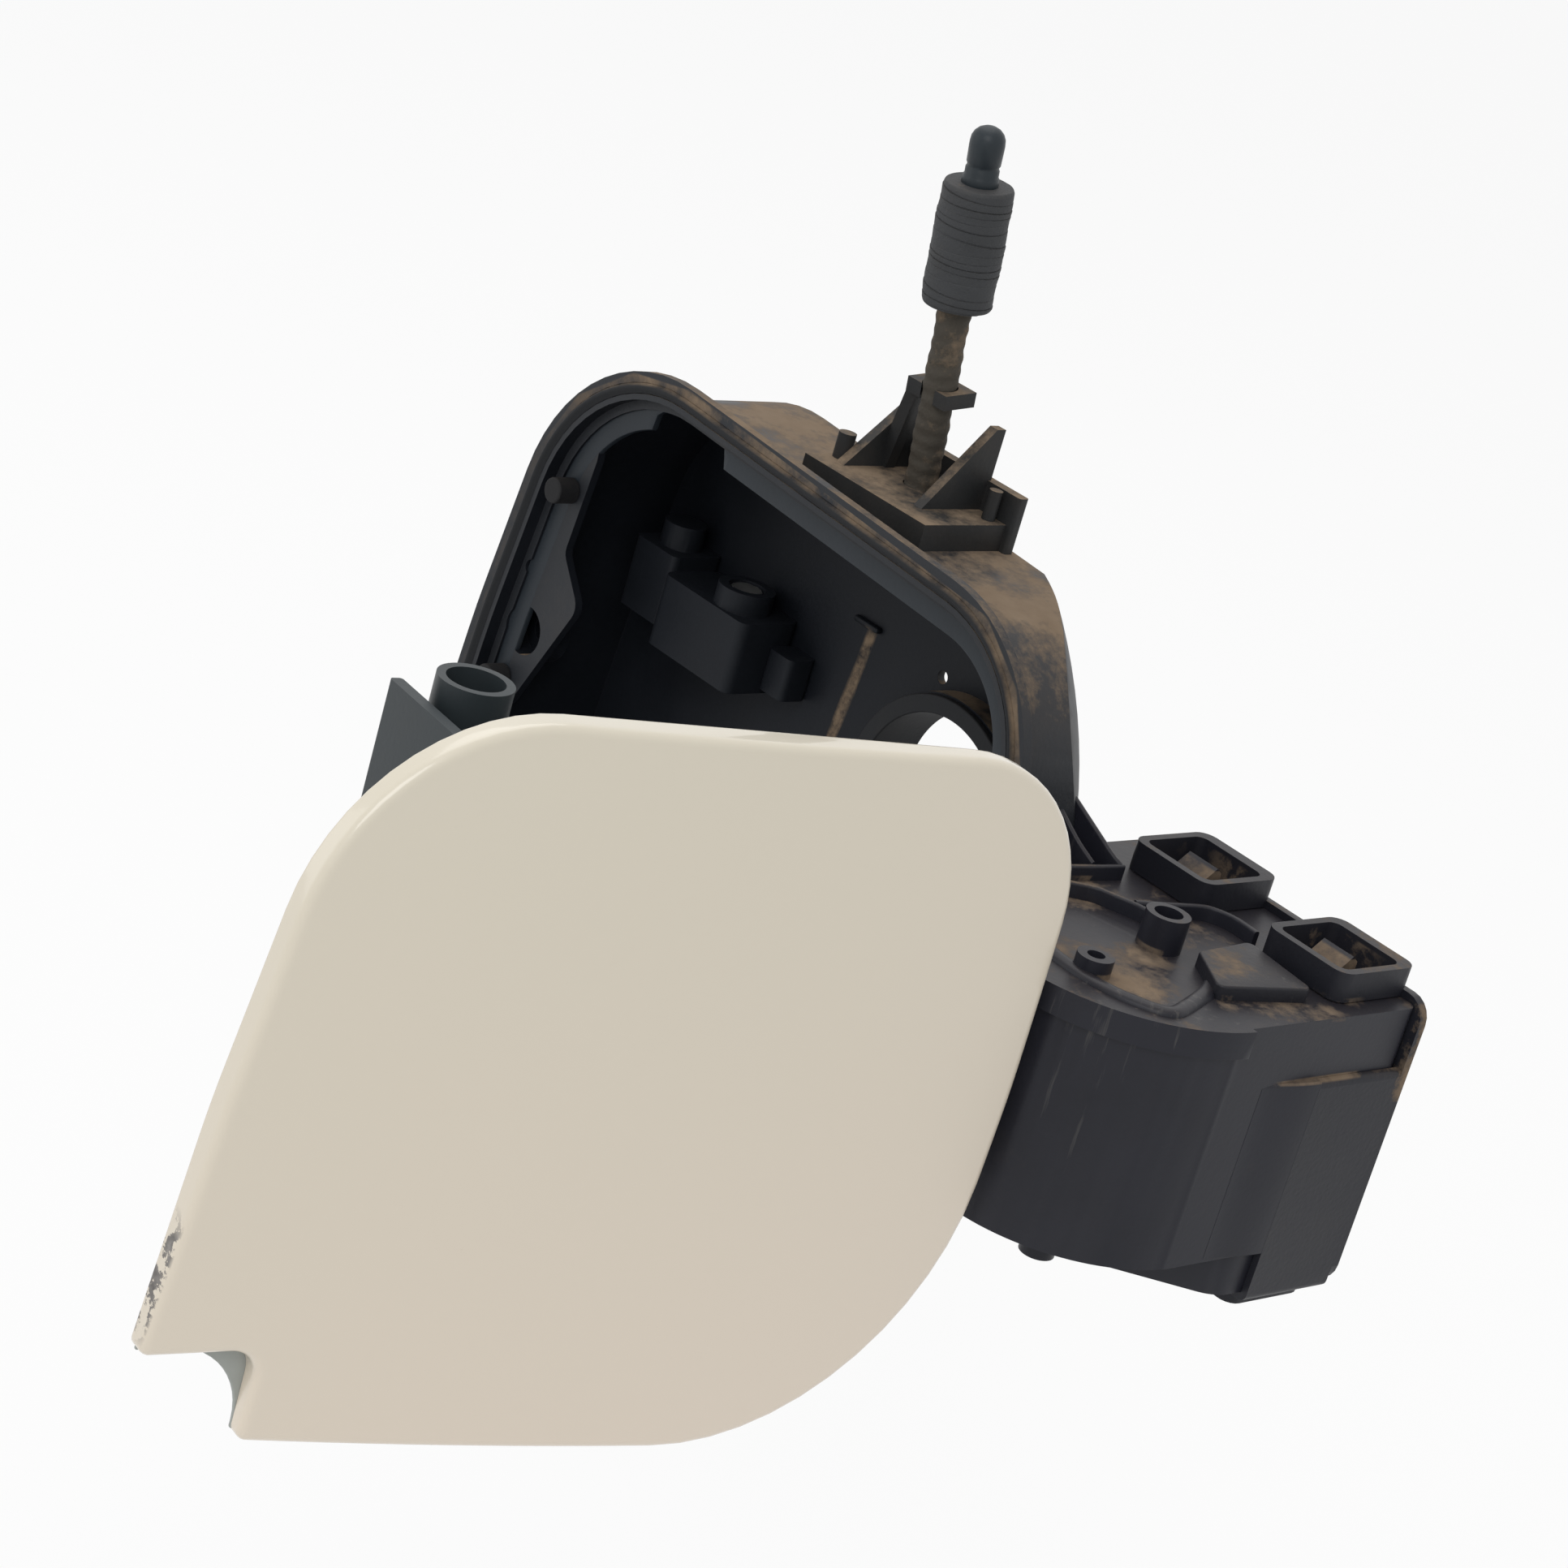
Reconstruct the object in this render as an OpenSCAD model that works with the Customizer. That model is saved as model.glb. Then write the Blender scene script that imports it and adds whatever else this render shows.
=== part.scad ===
// Car fuel door: a crowned flap on a gooseneck arm, over a moulded basin with a hinge housing.
// X runs to the hinge side, Y into the car and Z up. The mouth of the basin lies at Y = 0.

/* [Flap] */
// Width of the flap at its middle height
flap_w = 209; // [185:1:230]
// Height of the flap at its middle
flap_h = 171; // [155:1:190]
// Half of the fall of the top edge towards the hinge
top_fall = 6; // [0:0.5:10]
// Half of the rise of the bottom edge towards the free side
bottom_rise = 13; // [4:1:18]
// How far the free side leans in towards the top
side_lean = 17.5; // [8:0.5:22]
// Corner radius, free side at the top
r_top_free = 50; // [30:1:54]
// Corner radius, hinge side at the top
r_top_hinge = 41; // [20:1:48]
// Corner radius, hinge side at the bottom
r_low_hinge = 66; // [40:1:70]
// Radius of the crowned outer face
crown_r = 1400; // [1000:50:3000]
// Height of the crown above the middle of the mouth
crown_top = 11.5; // [10:0.5:14]
// Sheet thickness of the flap's skin
skin_t = 0.9; // [0.7:0.1:1.2]
// Sheet thickness of the inner panel
inner_t = 1; // [0.7:0.1:1.4]
// Gap between the turned edge of the flap and the mouth
flap_gap = 1.5; // [1.3:0.1:1.8]
// Width of the notch at the low free corner
notch_w = 27; // [18:1:32]
// Height of the notch at the low free corner
notch_h = 22; // [14:1:28]

/* [Mouth and basin] */
// How far the flange stands out past the flap's outline
lip = 2.5; // [2:0.1:3]
// Width of the flange inside the flap's outline
flange_in = 5; // [4:0.5:7]
// Thickness of the flange
flange_t = 3; // [2.5:0.5:5]
// Depth of the basin
basin_d = 50; // [46:1:56]
// Wall thickness of the basin
basin_wall = 2.5; // [2:0.1:3.5]
// Radius of the domed back of the basin
dome_r = 149; // [144:1:156]
// Width of the seal on the flange
seal_w = 3; // [2:0.2:3.6]
// How far the seal stands out of the flange
seal_out = 1.2; // [0.8:0.1:1.2]
// Radius of the filler neck opening
neck_r = 26; // [22:0.5:27]
// Radial thickness of the neck grommet
neck_ring_t = 3; // [2:0.5:4]
// Height of the neck collar
collar_h = 14; // [8:1:18]
// Radius of the fixing hole
fix_r = 3.3; // [2.5:0.1:4]
// Radius of the recess round the fixing hole
fix_recess_r = 7; // [5:0.5:8]

/* [Hinge] */
// Distance of the hinge pin from the middle of the mouth
pin_x = 148; // [147:0.5:152]
// Depth of the hinge pin behind the mouth
pin_y = 11; // [9:0.5:12]
// Radius of the hinge pin
pin_r = 3; // [2.5:0.1:3.5]
// Radial running clearance of the pin in the arm
pin_fit = 0.06; // [0.04:0.01:0.1]
// Angle at which the flap stands open
open_deg = 84; // [60:1:86]
// Inner radius of the arm's neck round the pin
neck_in = 48; // [47.5:0.5:50]
// Thickness of the arm's neck
neck_t = 7; // [5:0.5:8]
// Height of the arm
arm_h = 48; // [40:1:52]
// Middle height of the arm
arm_z = -4; // [-8:1:0]
// Outer radius of the arm's barrel
barrel_r = 8; // [6:0.5:10]

/* [Hinge housing] */
// Radius of the drum round the pin
drum_r = 41; // [38:0.5:41]
// Top of the hinge housing
box_top = 27; // [27:1:34]
// Underside of the hinge housing
box_low = -48; // [-54:1:-44]
// Depth of the hinge housing behind the mouth
box_d = 69; // [69:1:76]
// Wall thickness of the hinge housing
box_wall = 2.5; // [2:0.1:3]
// Thickness of the rear cover
cover_t = 2.5; // [2:0.1:3.5]
// Width of each clip loop
clip_w = 27; // [20:1:28]
// Depth of each clip loop
clip_d = 25; // [20:1:26]
// Height of each clip loop
clip_h = 8; // [7.5:0.5:11]

/* [Lock] */
// Radius of the bore in the catch
catch_r = 6.5; // [6:0.1:7.5]
// Wall thickness of the catch's tube
catch_wall = 2; // [1.5:0.1:2.5]
// Depth of the catch's tube behind the mouth
catch_y = 36; // [30:0.5:37]
// Distance of the catch from the middle of the mouth
catch_x = -37.5; // [-44:0.5:-34]
// Top of the catch's tube
catch_top = 81; // [76:0.5:81.5]
// Underside of the catch
catch_low = 42; // [40:0.5:50]
// Radius of the lock bolt
bolt_r = 5; // [3:0.1:5.4]
// Travel of the lock bolt
bolt_travel = 8; // [5:0.5:10]
// Radial running clearance of the bolt in its guide
bolt_fit = 0.1; // [0.06:0.01:0.1]

/* [Release lead] */
// Radius of the lead's sleeve
lead_r = 4.6; // [3.5:0.1:5]
// Length of the lead from its bracket to the wrapping
lead_l = 52; // [40:1:70]
// Forward lean of the lead
lead_lean = 7.5; // [0:0.5:11]
// Radius of the tape wrapping
wrap_r = 9.6; // [8:0.1:11]
// Length of the tape wrapping
wrap_l = 32; // [24:1:40]
// Radius of the end plug
plug_r = 4.8; // [3.5:0.1:6]
// Length of the end plug
plug_l = 15; // [10:0.5:20]

/* [Hidden] */
$fn = 72;
e = 0.02;

// Corners of the flap's outline as [x, z, radius], anticlockwise from the low free corner
half_w = flap_w / 2;
half_h = flap_h / 2;
mid_z = 2;
notch_top = mid_z - half_h + bottom_rise + notch_h - 3;
corners = [
    [-half_w - 2.5, mid_z - half_h + bottom_rise, 5],
    [half_w - 2.5, mid_z - half_h - bottom_rise, r_low_hinge],
    [half_w + 1, 0, 260],
    [half_w + 1, mid_z + half_h - top_fall, r_top_hinge],
    [-half_w + side_lean, mid_z + half_h + top_fall, r_top_free],
    [-half_w + 4.5, 5, 300]
];

// Small plane geometry for rounded outlines with straight sides
function unit(v) = v / norm(v);
function xz(c) = [c[0], c[1]];
function corner_shift(a, q, b) =
    let (u = unit(a - q), v = unit(b - q)) (u + v) / abs(u[0] * v[1] - u[1] * v[0]);
function corner_arc(a, q, b, r) =
    let (u = unit(a - q), v = unit(b - q), c = q + corner_shift(a, q, b) * r,
         t = r * (1 + u * v) / abs(u[0] * v[1] - u[1] * v[0]),
         p1 = q + u * t - c, p2 = q + v * t - c,
         a1 = atan2(p1[1], p1[0]), d = atan2(p2[1], p2[0]) - a1,
         turn = d > 180 ? d - 360 : d < -180 ? d + 360 : d,
         n = max(2, ceil(abs(turn) / (r < 9 ? 22 : 7))))
    [for (i = [0:n]) c + r * [cos(a1 + turn * i / n), sin(a1 + turn * i / n)]];
function rounded(pts) =
    let (n = len(pts))
    [for (i = [0:n - 1]) each corner_arc(xz(pts[(i + n - 1) % n]), xz(pts[i]), xz(pts[(i + 1) % n]), pts[i][2])];
function inset(pts, d) =
    let (n = len(pts))
    [for (i = [0:n - 1])
        let (p = xz(pts[i]) + corner_shift(xz(pts[(i + n - 1) % n]), xz(pts[i]), xz(pts[(i + 1) % n])) * d)
        [p[0], p[1], max(pts[i][2] - d, 1)]];
function box2(x0, z0, x1, z1, r) = [[x0, z0, r], [x1, z0, r], [x1, z1, r], [x0, z1, r]];

// A plate of the flap's outline, inset by d, between two depths
module slab(y0, y1, d) {
    translate([0, y1, 0]) rotate([90, 0, 0]) linear_extrude(y1 - y0) polygon(rounded(inset(corners, d)));
}

// A prism of any rounded outline in X and Z
module prism(pts, y0, y1) {
    translate([0, y1, 0]) rotate([90, 0, 0]) linear_extrude(y1 - y0) polygon(rounded(pts));
}

// A prism of any rounded outline in X and Y
module plan(pts, z0, z1) {
    translate([0, 0, z0]) linear_extrude(z1 - z0) polygon(rounded(pts));
}

// A round bar along Y
module bar_y(x, z, y0, y1, r) {
    translate([x, y0, z]) rotate([-90, 0, 0]) cylinder(h = y1 - y0, r = r);
}

// A round bar along Z
module bar_z(x, y, z0, z1, r) {
    translate([x, y, z0]) cylinder(h = z1 - z0, r = r);
}

module block(a, b) {
    translate(a) cube(b - a);
}

// Turns the closed flap to the angle at which it stands open
module swung() {
    translate([pin_x, pin_y, 0]) rotate([0, 0, open_deg]) translate([-pin_x, -pin_y, 0]) children();
}

// Basin
wall_in = flange_in + 2;
arm_z0 = arm_z - arm_h / 2;
arm_z1 = arm_z + arm_h / 2;
slot_gap = 3;
slot_x = pin_x - neck_in + 3.3;
neck_c = [46, 11];
collar_r = neck_r + neck_ring_t + basin_wall;
land_y = 5;
fix_at = [-86, 4.5];
pip_at = [-89, 22];
drain_at = [30, 42];

module dome(r) {
    translate([-12, -60, 2]) sphere(r = r, $fn = 96);
}

module basin_form(d, y0, y1, r) {
    intersection() {
        slab(y0, y1, d);
        dome(r);
    }
}

module land_form() {
    prism([[-half_w, 74, 3], [-half_w, -22, 3], [-85, -18, 4], [-67, 19, 5], [-78, 31, 4], [-74, 66, 8]],
          land_y, land_y + basin_wall);
}

module basin() color("#23272c") {
    difference() {
        union() {
            slab(0, flange_t, -lip);
            basin_form(flange_in - 0.5, flange_t - e, basin_d, dome_r);
            bar_y(neck_c[0], neck_c[1], basin_d - collar_h + 4, basin_d + 4, collar_r);
        }
        difference() {
            basin_form(wall_in + 0.5, -1, basin_d - basin_wall, dome_r - basin_wall);
            bar_y(neck_c[0], neck_c[1], basin_d - collar_h + 4, basin_d + 4, collar_r);
            intersection() {
                land_form();
                slab(-1, basin_d, wall_in);
            }
        }
        slab(-1, flange_t + 1, flange_in);
        difference() {
            slab(-1, 1.4, 0.4);
            slab(-2, 2, 0.4 + seal_w);
        }
        bar_y(neck_c[0], neck_c[1], 0, basin_d + 10, neck_r + neck_ring_t);
        bar_y(fix_at[0], fix_at[1], -1, land_y + 9, fix_recess_r);
        bar_y(pip_at[0], pip_at[1], land_y - 1, land_y + 1.2, 2.2);
        bar_y(drain_at[0], drain_at[1], 20, basin_d + 1, 1.8);
        block([slot_x - 34, -1, arm_z0 - slot_gap], [slot_x, basin_d + 8, arm_z1 + slot_gap]);
    }
    fix_boss();
}

// Recessed seat round the fixing hole
module fix_boss() {
    difference() {
        bar_y(fix_at[0], fix_at[1], land_y + e, land_y + 9, fix_recess_r + 2);
        bar_y(fix_at[0], fix_at[1], 0, land_y + 9 - basin_wall, fix_recess_r);
        bar_y(fix_at[0], fix_at[1], 0, land_y + 10, fix_r);
    }
}

module rim_seal() color("#15171a") {
    difference() {
        slab(-seal_out, 1.4, 0.4);
        slab(-3, 3, 0.4 + seal_w);
        block([slot_x - 34, -4, arm_z0 - slot_gap], [slot_x + 9, 4, arm_z1 + slot_gap]);
    }
}

module neck_ring() color("#1b1c1e") {
    y0 = basin_d - collar_h + 2;
    difference() {
        union() {
            bar_y(neck_c[0], neck_c[1], y0 + 2, basin_d + 6, neck_r + neck_ring_t);
            bar_y(neck_c[0], neck_c[1], y0, y0 + 2, neck_r + neck_ring_t + 2);
        }
        bar_y(neck_c[0], neck_c[1], 0, basin_d + 20, neck_r);
    }
}

module buffers() color("#101113") {
    for (at = [[-half_w + 23, 48], [-half_w + 15, -11]]) {
        bar_y(at[0], at[1], -flap_gap + 0.3 - 0.9, land_y, 3.6);
    }
}

// Bracket on top of the basin that holds the release lead
base_x = 12;
base_y = 38;
function top_z(x) = mid_z + half_h + top_fall - 2 * top_fall * (x + half_w - side_lean) / (2 * half_w + 1 - side_lean);
base_z = top_z(base_x) - flange_in + 4;

// Moves its children to the lead's foot and tips them along the lead
module along_lead() {
    translate([base_x, base_y, base_z]) rotate([lead_lean, 0, 0]) children();
}

module lead_bracket() color("#26292c") {
    difference() {
        union() {
            block([base_x - 22, base_y - 22, base_z - 8], [base_x + 26, base_y + 10, base_z + 2]);
            plan(box2(base_x - 14, base_y + 7, base_x + 28, base_y + 10.5, 1), base_z - 8, base_z + 10);
            translate([base_x - 15, base_y + 8, base_z + 1.9]) gusset(20, 24, 3);
            translate([base_x + 14, base_y + 8, base_z + 1.9]) gusset(22, 22, 3);
            strap();
            bar_z(base_x - 19, base_y - 12, base_z, base_z + 9, 2.4);
            bar_z(base_x + 22, base_y + 4, base_z, base_z + 10, 1.8);
        }
        along_lead() translate([0, 0, -14]) cylinder(h = 60, r = lead_r + 0.15);
        basin_solid();
    }
}

// Outer form of the basin without its hollow
module basin_solid() {
    basin_form(flange_in - 0.5, flange_t - e, basin_d, dome_r);
}

// Triangular stiffening rib standing on the bracket
module gusset(h, d, t) {
    rotate([90, 0, -90]) linear_extrude(t, center = true) polygon([[0, 0], [d, 0], [3, h], [0, h]]);
}

// Loop that holds the lead upright
module strap() {
    along_lead() {
        rotate([90, 0, 0]) linear_extrude(3.4, center = true)
            polygon([[-17, 0], [-13, 0], [-6.5, 24], [-1, 26.5], [-1, 30], [-9, 29.5]]);
        translate([-8, -4, 26]) difference() {
            cube([15, 10.5, 4]);
            translate([8, 4, -1]) cylinder(h = 8, r = lead_r + 0.15);
        }
    }
}

module lead() color("#3a3630") {
    along_lead() cylinder(h = lead_l, r = lead_r);
}

module lead_wrap() color("#1d1f21") {
    along_lead() translate([0, 0, lead_l]) rotate_extrude()
        polygon(concat([[0, 0]], [for (i = [0:8]) each [
            [wrap_r - 0.9 + 0.3 * (i % 2), i * wrap_l / 9],
            [wrap_r - 0.2 * (i % 3), (i + 0.6) * wrap_l / 9]]],
            [[wrap_r - 1, wrap_l], [0, wrap_l]]));
}

module lead_plug() color("#1a1c1e") {
    along_lead() translate([0, 0, lead_l + wrap_l]) {
        cylinder(h = plug_l - plug_r, r = plug_r);
        translate([0, 0, plug_l - plug_r]) intersection() {
            sphere(r = plug_r);
            cylinder(h = plug_r, r = plug_r);
        }
    }
}

// Hinge housing
drum_x1 = pin_x + drum_r;
box_x0 = 97;
boss_r = 5.6;
boss_up = 9;
arm_gap = 1.2;

drum_low = box_low + 11;

module hinge_box() color("#23262c") {
    difference() {
        union() {
            bar_z(pin_x, pin_y, drum_low, box_top, drum_r);
            plan(box2(box_x0, 4, drum_x1, box_d, 3), drum_low, box_top);
            plan([[box_x0, 6, 3], [pin_x + 18, 6, 12], [drum_x1, 30, 12], [drum_x1, box_d, 3], [box_x0, box_d, 3]],
                 box_low, drum_low + e);
            block([slot_x + 0.4, flange_t, drum_low + 2], [pin_x - drum_r + 4, pin_y, box_top - 2]);
            box_top_details();
            bar_z(pin_x, pin_y, box_low - 9, box_low, boss_r - 1);
        }
        box_hollow();
        basin_solid();
        slab(-0.4, flange_t, -lip - 0.3);
        bar_y(neck_c[0], neck_c[1], 0, basin_d + 10, collar_r + 1);
        bar_z(pin_x, pin_y, box_low - 10, box_top - 1, pin_r);
    }
}

// Room for the arm inside the housing, open to the basin and to the rear cover
module box_hollow() {
    difference() {
        union() {
            bar_z(pin_x, pin_y, drum_low + box_wall, box_top - box_wall, drum_r - box_wall);
            plan(box2(box_x0 + box_wall, pin_y - 3, drum_x1 - box_wall, box_d + 5, 2), drum_low + box_wall, box_top - box_wall);
            plan([[box_x0 + box_wall, 9, 2], [pin_x + 17, 9, 10], [drum_x1 - box_wall, 31, 10],
                  [drum_x1 - box_wall, box_d + 5, 2], [box_x0 + box_wall, box_d + 5, 2]], box_low + box_wall, drum_low + 5);
            block([box_x0 - 5, pin_y - 3, arm_z0 - slot_gap], [pin_x, pin_y + 28, arm_z1 + slot_gap]);
        }
        bar_z(pin_x, pin_y, box_low, arm_z0 - arm_gap - 0.3, barrel_r);
        bar_z(pin_x, pin_y, arm_z1 + arm_gap + 0.3, box_top, barrel_r);
    }
    block([box_x0 - 5, -5, arm_z0 - slot_gap], [slot_x + 0.4, pin_y, arm_z1 + slot_gap]);
}

// Bosses, lip, tray and clip wedges on the top of the housing
module box_top_details() {
    difference() {
        bar_z(pin_x + 1, pin_y + 6, box_top - e, box_top + boss_up, boss_r);
        bar_z(pin_x + 1, pin_y + 6, box_top + 1, box_top + boss_up + 1, boss_r - 2);
    }
    difference() {
        bar_z(pin_x + 9, pin_y - 25, box_top - e, box_top + 4.5, 4.6);
        bar_z(pin_x + 9, pin_y - 25, box_top + 1, box_top + 6, 2.2);
    }
    intersection() {
        difference() {
            bar_z(pin_x, pin_y, box_top - 7, box_top, drum_r + 1.6);
            bar_z(pin_x, pin_y, box_top - 8, box_top + 1, drum_r - 1);
        }
        translate([pin_x + 1, pin_y - 60, 0]) cube([90, 58, 60]);
    }
    difference() {
        tray_form(0, box_top - e, box_top + 3.5);
        tray_form(2, box_top, box_top + 5);
    }
    for (x = clip_at) {
        translate([x, box_d - clip_d + 10, box_top - e]) clip_wedge();
        translate([x, box_d - clip_d + 10, box_low + e]) mirror([0, 0, 1]) clip_wedge();
    }
}

module tray_form(d, z0, z1) {
    plan(inset([[pin_x + 11, pin_y + 9, 2], [pin_x + 27, pin_y - 1, 2], [pin_x + 33, pin_y + 26, 2],
                [pin_x + 9, pin_y + 29, 2]], d), z0, z1);
}

clip_at = [pin_x - 25, pin_x + 22];

// Wedge that a clip loop snaps over
module clip_wedge() {
    rotate([90, 0, 90]) linear_extrude(10, center = true) polygon([[-4, 0], [5, 0], [5, 6], [3, 7.5], [-4, 2]]);
}

// Loop of the rear cover, closed round a wedge
module clip_loop(x) {
    difference() {
        plan(box2(x - clip_w / 2, box_d - clip_d, x + clip_w / 2, box_d + cover_t, 4), box_top + 0.3, box_top + clip_h);
        plan(box2(x - clip_w / 2 + 2.4, box_d - clip_d + 2.4, x + clip_w / 2 - 2.4, box_d - 1.5, 2.5),
             box_top - 1, box_top + clip_h + 1);
    }
}

module box_cover() color("#1f2226") {
    rim = 2;
    difference() {
        union() {
            prism(box2(box_x0 - 1, box_low - rim, drum_x1 + rim, box_top + rim, 6), box_d, box_d + cover_t);
            prism(box2(box_x0 + 4, box_low + 6, drum_x1 - 6, box_top - 6, 5), box_d + cover_t - e, box_d + cover_t + 3);
            difference() {
                prism(box2(pin_x + 6, box_low - 2, drum_x1 + 2, box_top - 16, 2), box_d - 30, box_d + e);
                block([box_x0, 0, box_low - 0.1], [drum_x1 + 0.1, box_d + 1, box_top]);
                for (x = clip_at) block([x - 6, box_d - clip_d + 5, box_low - 4], [x + 6, box_d - clip_d + 16, box_low]);
            }
            for (x = clip_at) clip_loop(x);
            for (x = clip_at) translate([0, 0, box_top + box_low]) mirror([0, 0, 1]) clip_loop(x);
        }
        prism(box2(box_x0 + 6, box_low + 8, drum_x1 - 8, box_top - 8, 4), box_d + cover_t - 2.5 + 2, box_d + cover_t + 1.2);
    }
}

module hinge_pin() color("#9aa0a4") {
    bar_z(pin_x, pin_y, box_low - 8, box_top - 1, pin_r);
}

// Lock
lock_top = catch_low - 3.5;

module lock_body() color("#2b2e31") {
    difference() {
        intersection() {
            lock_form();
            dome(dome_r - basin_wall);
        }
        bar_z(catch_x, catch_y, lock_top - bolt_travel - 14, lock_top + 1, bolt_r + bolt_fit);
    }
}

module lock_form() {
    plan(box2(catch_x - 24, catch_y - 9, catch_x + 12, basin_d - basin_wall, 3), 12, lock_top - 6);
    bar_z(catch_x, catch_y, lock_top - 8, lock_top, bolt_r + 3);
    plan(box2(catch_x - 42, catch_y - 6, catch_x - 24, basin_d - basin_wall, 2), 16, lock_top - 2);
    bar_z(catch_x - 33, catch_y + 3, lock_top - 4, lock_top + 5, 6);
    plan(box2(catch_x + 12 - e, catch_y + 2, catch_x + 22, basin_d - basin_wall, 2), 14, 26);
}

module lock_bolt() color("#b9bcbc") {
    difference() {
        bar_z(catch_x, catch_y, lock_top - bolt_travel - 13, lock_top - 0.5, bolt_r);
        translate([catch_x, catch_y, lock_top - 0.5]) rotate_extrude()
            polygon([[bolt_r - 1, 0.1], [bolt_r + 1, 0.1], [bolt_r + 1, -2], [bolt_r, -1]]);
    }
}

// Flap
crown_c = crown_r - crown_top;
hem_back = -flap_gap;
pan_back = -flap_gap - skin_t;

module notch(d) {
    prism(box2(-half_w - 20, -half_h - 20, -half_w + notch_w + d, notch_top + d, 7), -30, 40);
}

module skin_form(d, y1) {
    intersection() {
        slab(-crown_top - 2, y1, d);
        translate([0, crown_c, 0]) sphere(r = crown_r - d, $fn = 180);
    }
}

module flap_skin() color("#d9cfbb") swung() {
    difference() {
        skin_form(0, hem_back);
        difference() {
            skin_form(skin_t, 5);
            notch(skin_t);
        }
        notch(0);
        intersection() {
            notch(skin_t + 0.1);
            slab(pan_back - inner_t, 5, skin_t);
        }
    }
}

module flap_inner() color("#a9a99f") swung() {
    difference() {
        union() {
            slab(pan_back - inner_t, pan_back, skin_t);
            slab(pan_back - inner_t - 2, pan_back - inner_t + e, 21);
        }
        slab(pan_back - inner_t - 1, 5, 22);
        prism(box2(-half_w - 20, -half_h - 20, -half_w + notch_w, notch_top, 20), -30, 40);
        for (z = [-46, 46]) bar_y(0, z, -12, 5, 12);
    }
}

// Gooseneck arm
foot_x0 = 42;
web_deg = 85;
neck_out = neck_in + neck_t;
neck_deg = 190;
foot_back = pan_back + 3.4;
dish_y = pan_back - inner_t - 1;

module wedge(a0, a1, r) {
    n = 6;
    linear_extrude(200, center = true)
        polygon(concat([[0, 0]], [for (i = [0:n]) r * [cos(a0 + (a1 - a0) * i / n), sin(a0 + (a1 - a0) * i / n)]]));
}

module flap_arm() color("#1d1f23") swung() {
    difference() {
        union() {
            translate([pin_x, pin_y, arm_z]) {
                intersection() {
                    difference() {
                        cylinder(h = arm_h, r = neck_out, center = true);
                        cylinder(h = arm_h + 1, r = neck_in, center = true);
                    }
                    wedge(web_deg - 5, neck_deg + 3, 90);
                }
                cylinder(h = arm_h, r = barrel_r, center = true);
                rotate([0, 0, web_deg]) translate([4, -3, 1 - arm_h / 2]) cube([neck_out - 6, 6, arm_h - 2]);
            }
            plan(box2(foot_x0, pan_back, pin_x - neck_in - 1, foot_back, 0.4), arm_z0, arm_z1);
            plan(box2(foot_x0, dish_y, 72, foot_back, 0.4), arm_z0 + 4, arm_z1 - 4);
            for (z = [arm_z0 + 3, arm_z1 - 3]) arm_rib(z);
        }
        bar_z(pin_x, pin_y, -80, 80, pin_r + pin_fit);
        difference() {
            slab(-30, pan_back, -10);
            slab(dish_y, pan_back + 1, 23);
        }
        translate([pin_x, pin_y, arm_z]) for (a = [112, 140, 164]) {
            rotate([0, 0, a]) translate([neck_in - 2, -7, -13]) cube([neck_t + 4, 14, 26]);
        }
        for (z = screw_z) bar_y(screw_x, z, -20, 10, 2.6);
    }
}

// Rib from the foot into the neck
module arm_rib(z) {
    translate([0, 0, z]) linear_extrude(4, center = true)
        polygon([[60, foot_back - 0.5], [98, foot_back - 0.5], [99, 20], [94, 13.5]]);
}

screw_x = 56;
screw_z = [arm_z - 13, arm_z + 13];

module arm_screws() color("#8f9496") swung() {
    for (z = screw_z) {
        bar_y(screw_x, z, dish_y, foot_back + e, 2.5);
        difference() {
            bar_y(screw_x, z, foot_back, foot_back + 3.2, 4.6);
            translate([screw_x, foot_back + 1.2, z]) rotate([-90, 0, 0]) cylinder(h = 4, r = 2.4, $fn = 6);
        }
    }
}

// Catch that the lock bolt enters when the flap is shut
module latch_catch() color("#2a2d30") swung() {
    foot_z0 = catch_low + 2;
    foot_z1 = catch_top - 12;
    difference() {
        union() {
            bar_z(catch_x, catch_y, catch_low, catch_top, catch_r + catch_wall);
            bar_z(catch_x + 3, catch_y - 3, catch_low, catch_top - 14, 13.5);
            plan(box2(catch_x - 15, pan_back, catch_x - 12, catch_y + 9, 0.8), catch_low, catch_top - 4);
            plan(box2(catch_x + 13.5, pan_back, catch_x + 16.5, catch_y - 2, 0.8), catch_low, catch_top - 16);
            plan(box2(catch_x - 14, catch_y - 16, catch_x + 16, catch_y - 12, 1), catch_low, catch_top - 12);
            plan(box2(catch_x - 22, dish_y, catch_x + 22, pan_back + 3, 0.8), foot_z0 - 8, foot_z1);
            plan(box2(catch_x - 13, catch_y + 6.5, catch_x + 2, catch_y + 9, 0.8), catch_low, catch_top - 12);
        }
        bar_z(catch_x, catch_y, catch_low - 1, catch_top + 1, catch_r);
        translate([catch_x, pan_back - 1, catch_top - 16]) rotate([-20, 0, 0]) translate([-40, -30, 0])
            cube([80, 30, 40]);
        difference() {
            slab(-30, pan_back, -10);
            slab(dish_y, pan_back + 1, 23);
        }
    }
}

basin();
rim_seal();
neck_ring();
buffers();
lead_bracket();
lead();
lead_wrap();
lead_plug();
hinge_box();
box_cover();
hinge_pin();
lock_body();
lock_bolt();
flap_skin();
flap_inner();
flap_arm();
arm_screws();
latch_catch();
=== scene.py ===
"""Car fuel door, standing open: painted flap, moulded basin, hinge housing, lock and release lead."""
import math

import bmesh
import bpy
import numpy as np
from mathutils import Matrix, Vector


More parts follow.
